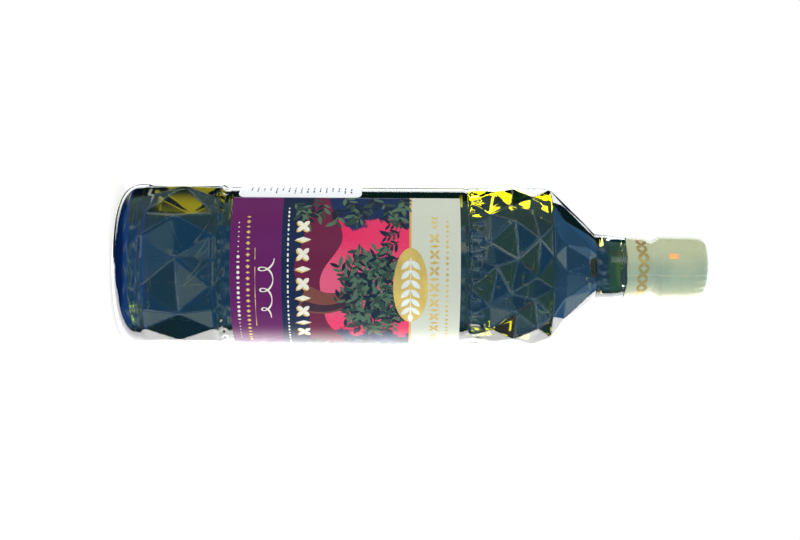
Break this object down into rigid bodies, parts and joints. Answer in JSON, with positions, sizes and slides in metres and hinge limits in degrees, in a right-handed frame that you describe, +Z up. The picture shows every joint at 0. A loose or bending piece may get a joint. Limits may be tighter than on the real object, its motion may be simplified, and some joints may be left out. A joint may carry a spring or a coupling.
{
  "type": "olive oil bottle",
  "caption": "Clear heavy glass bottle of olive oil with bands of moulded facets, straight labelled panel, cone shoulder, short neck and shrunk-on capsule",
  "frame": {"origin": "middle of the foot, on the table", "axes": "+Z up along the bottle; the middle of the front label faces -Y"},
  "size_m": [0.071, 0.071, 0.2566],
  "materials": {
    "glass": "polished",
    "oil": "clear liquid",
    "label_paper": "satin print",
    "sticker_paper": "matt",
    "capsule_film": "satin shrink film"
  },
  "bodies": {
    "root": {"glass_bottle": "glass", "olive_oil": "oil", "front_label": "label_paper", "side_sticker": "sticker_paper", "capsule": "capsule_film"}
  },
  "joints": []
}
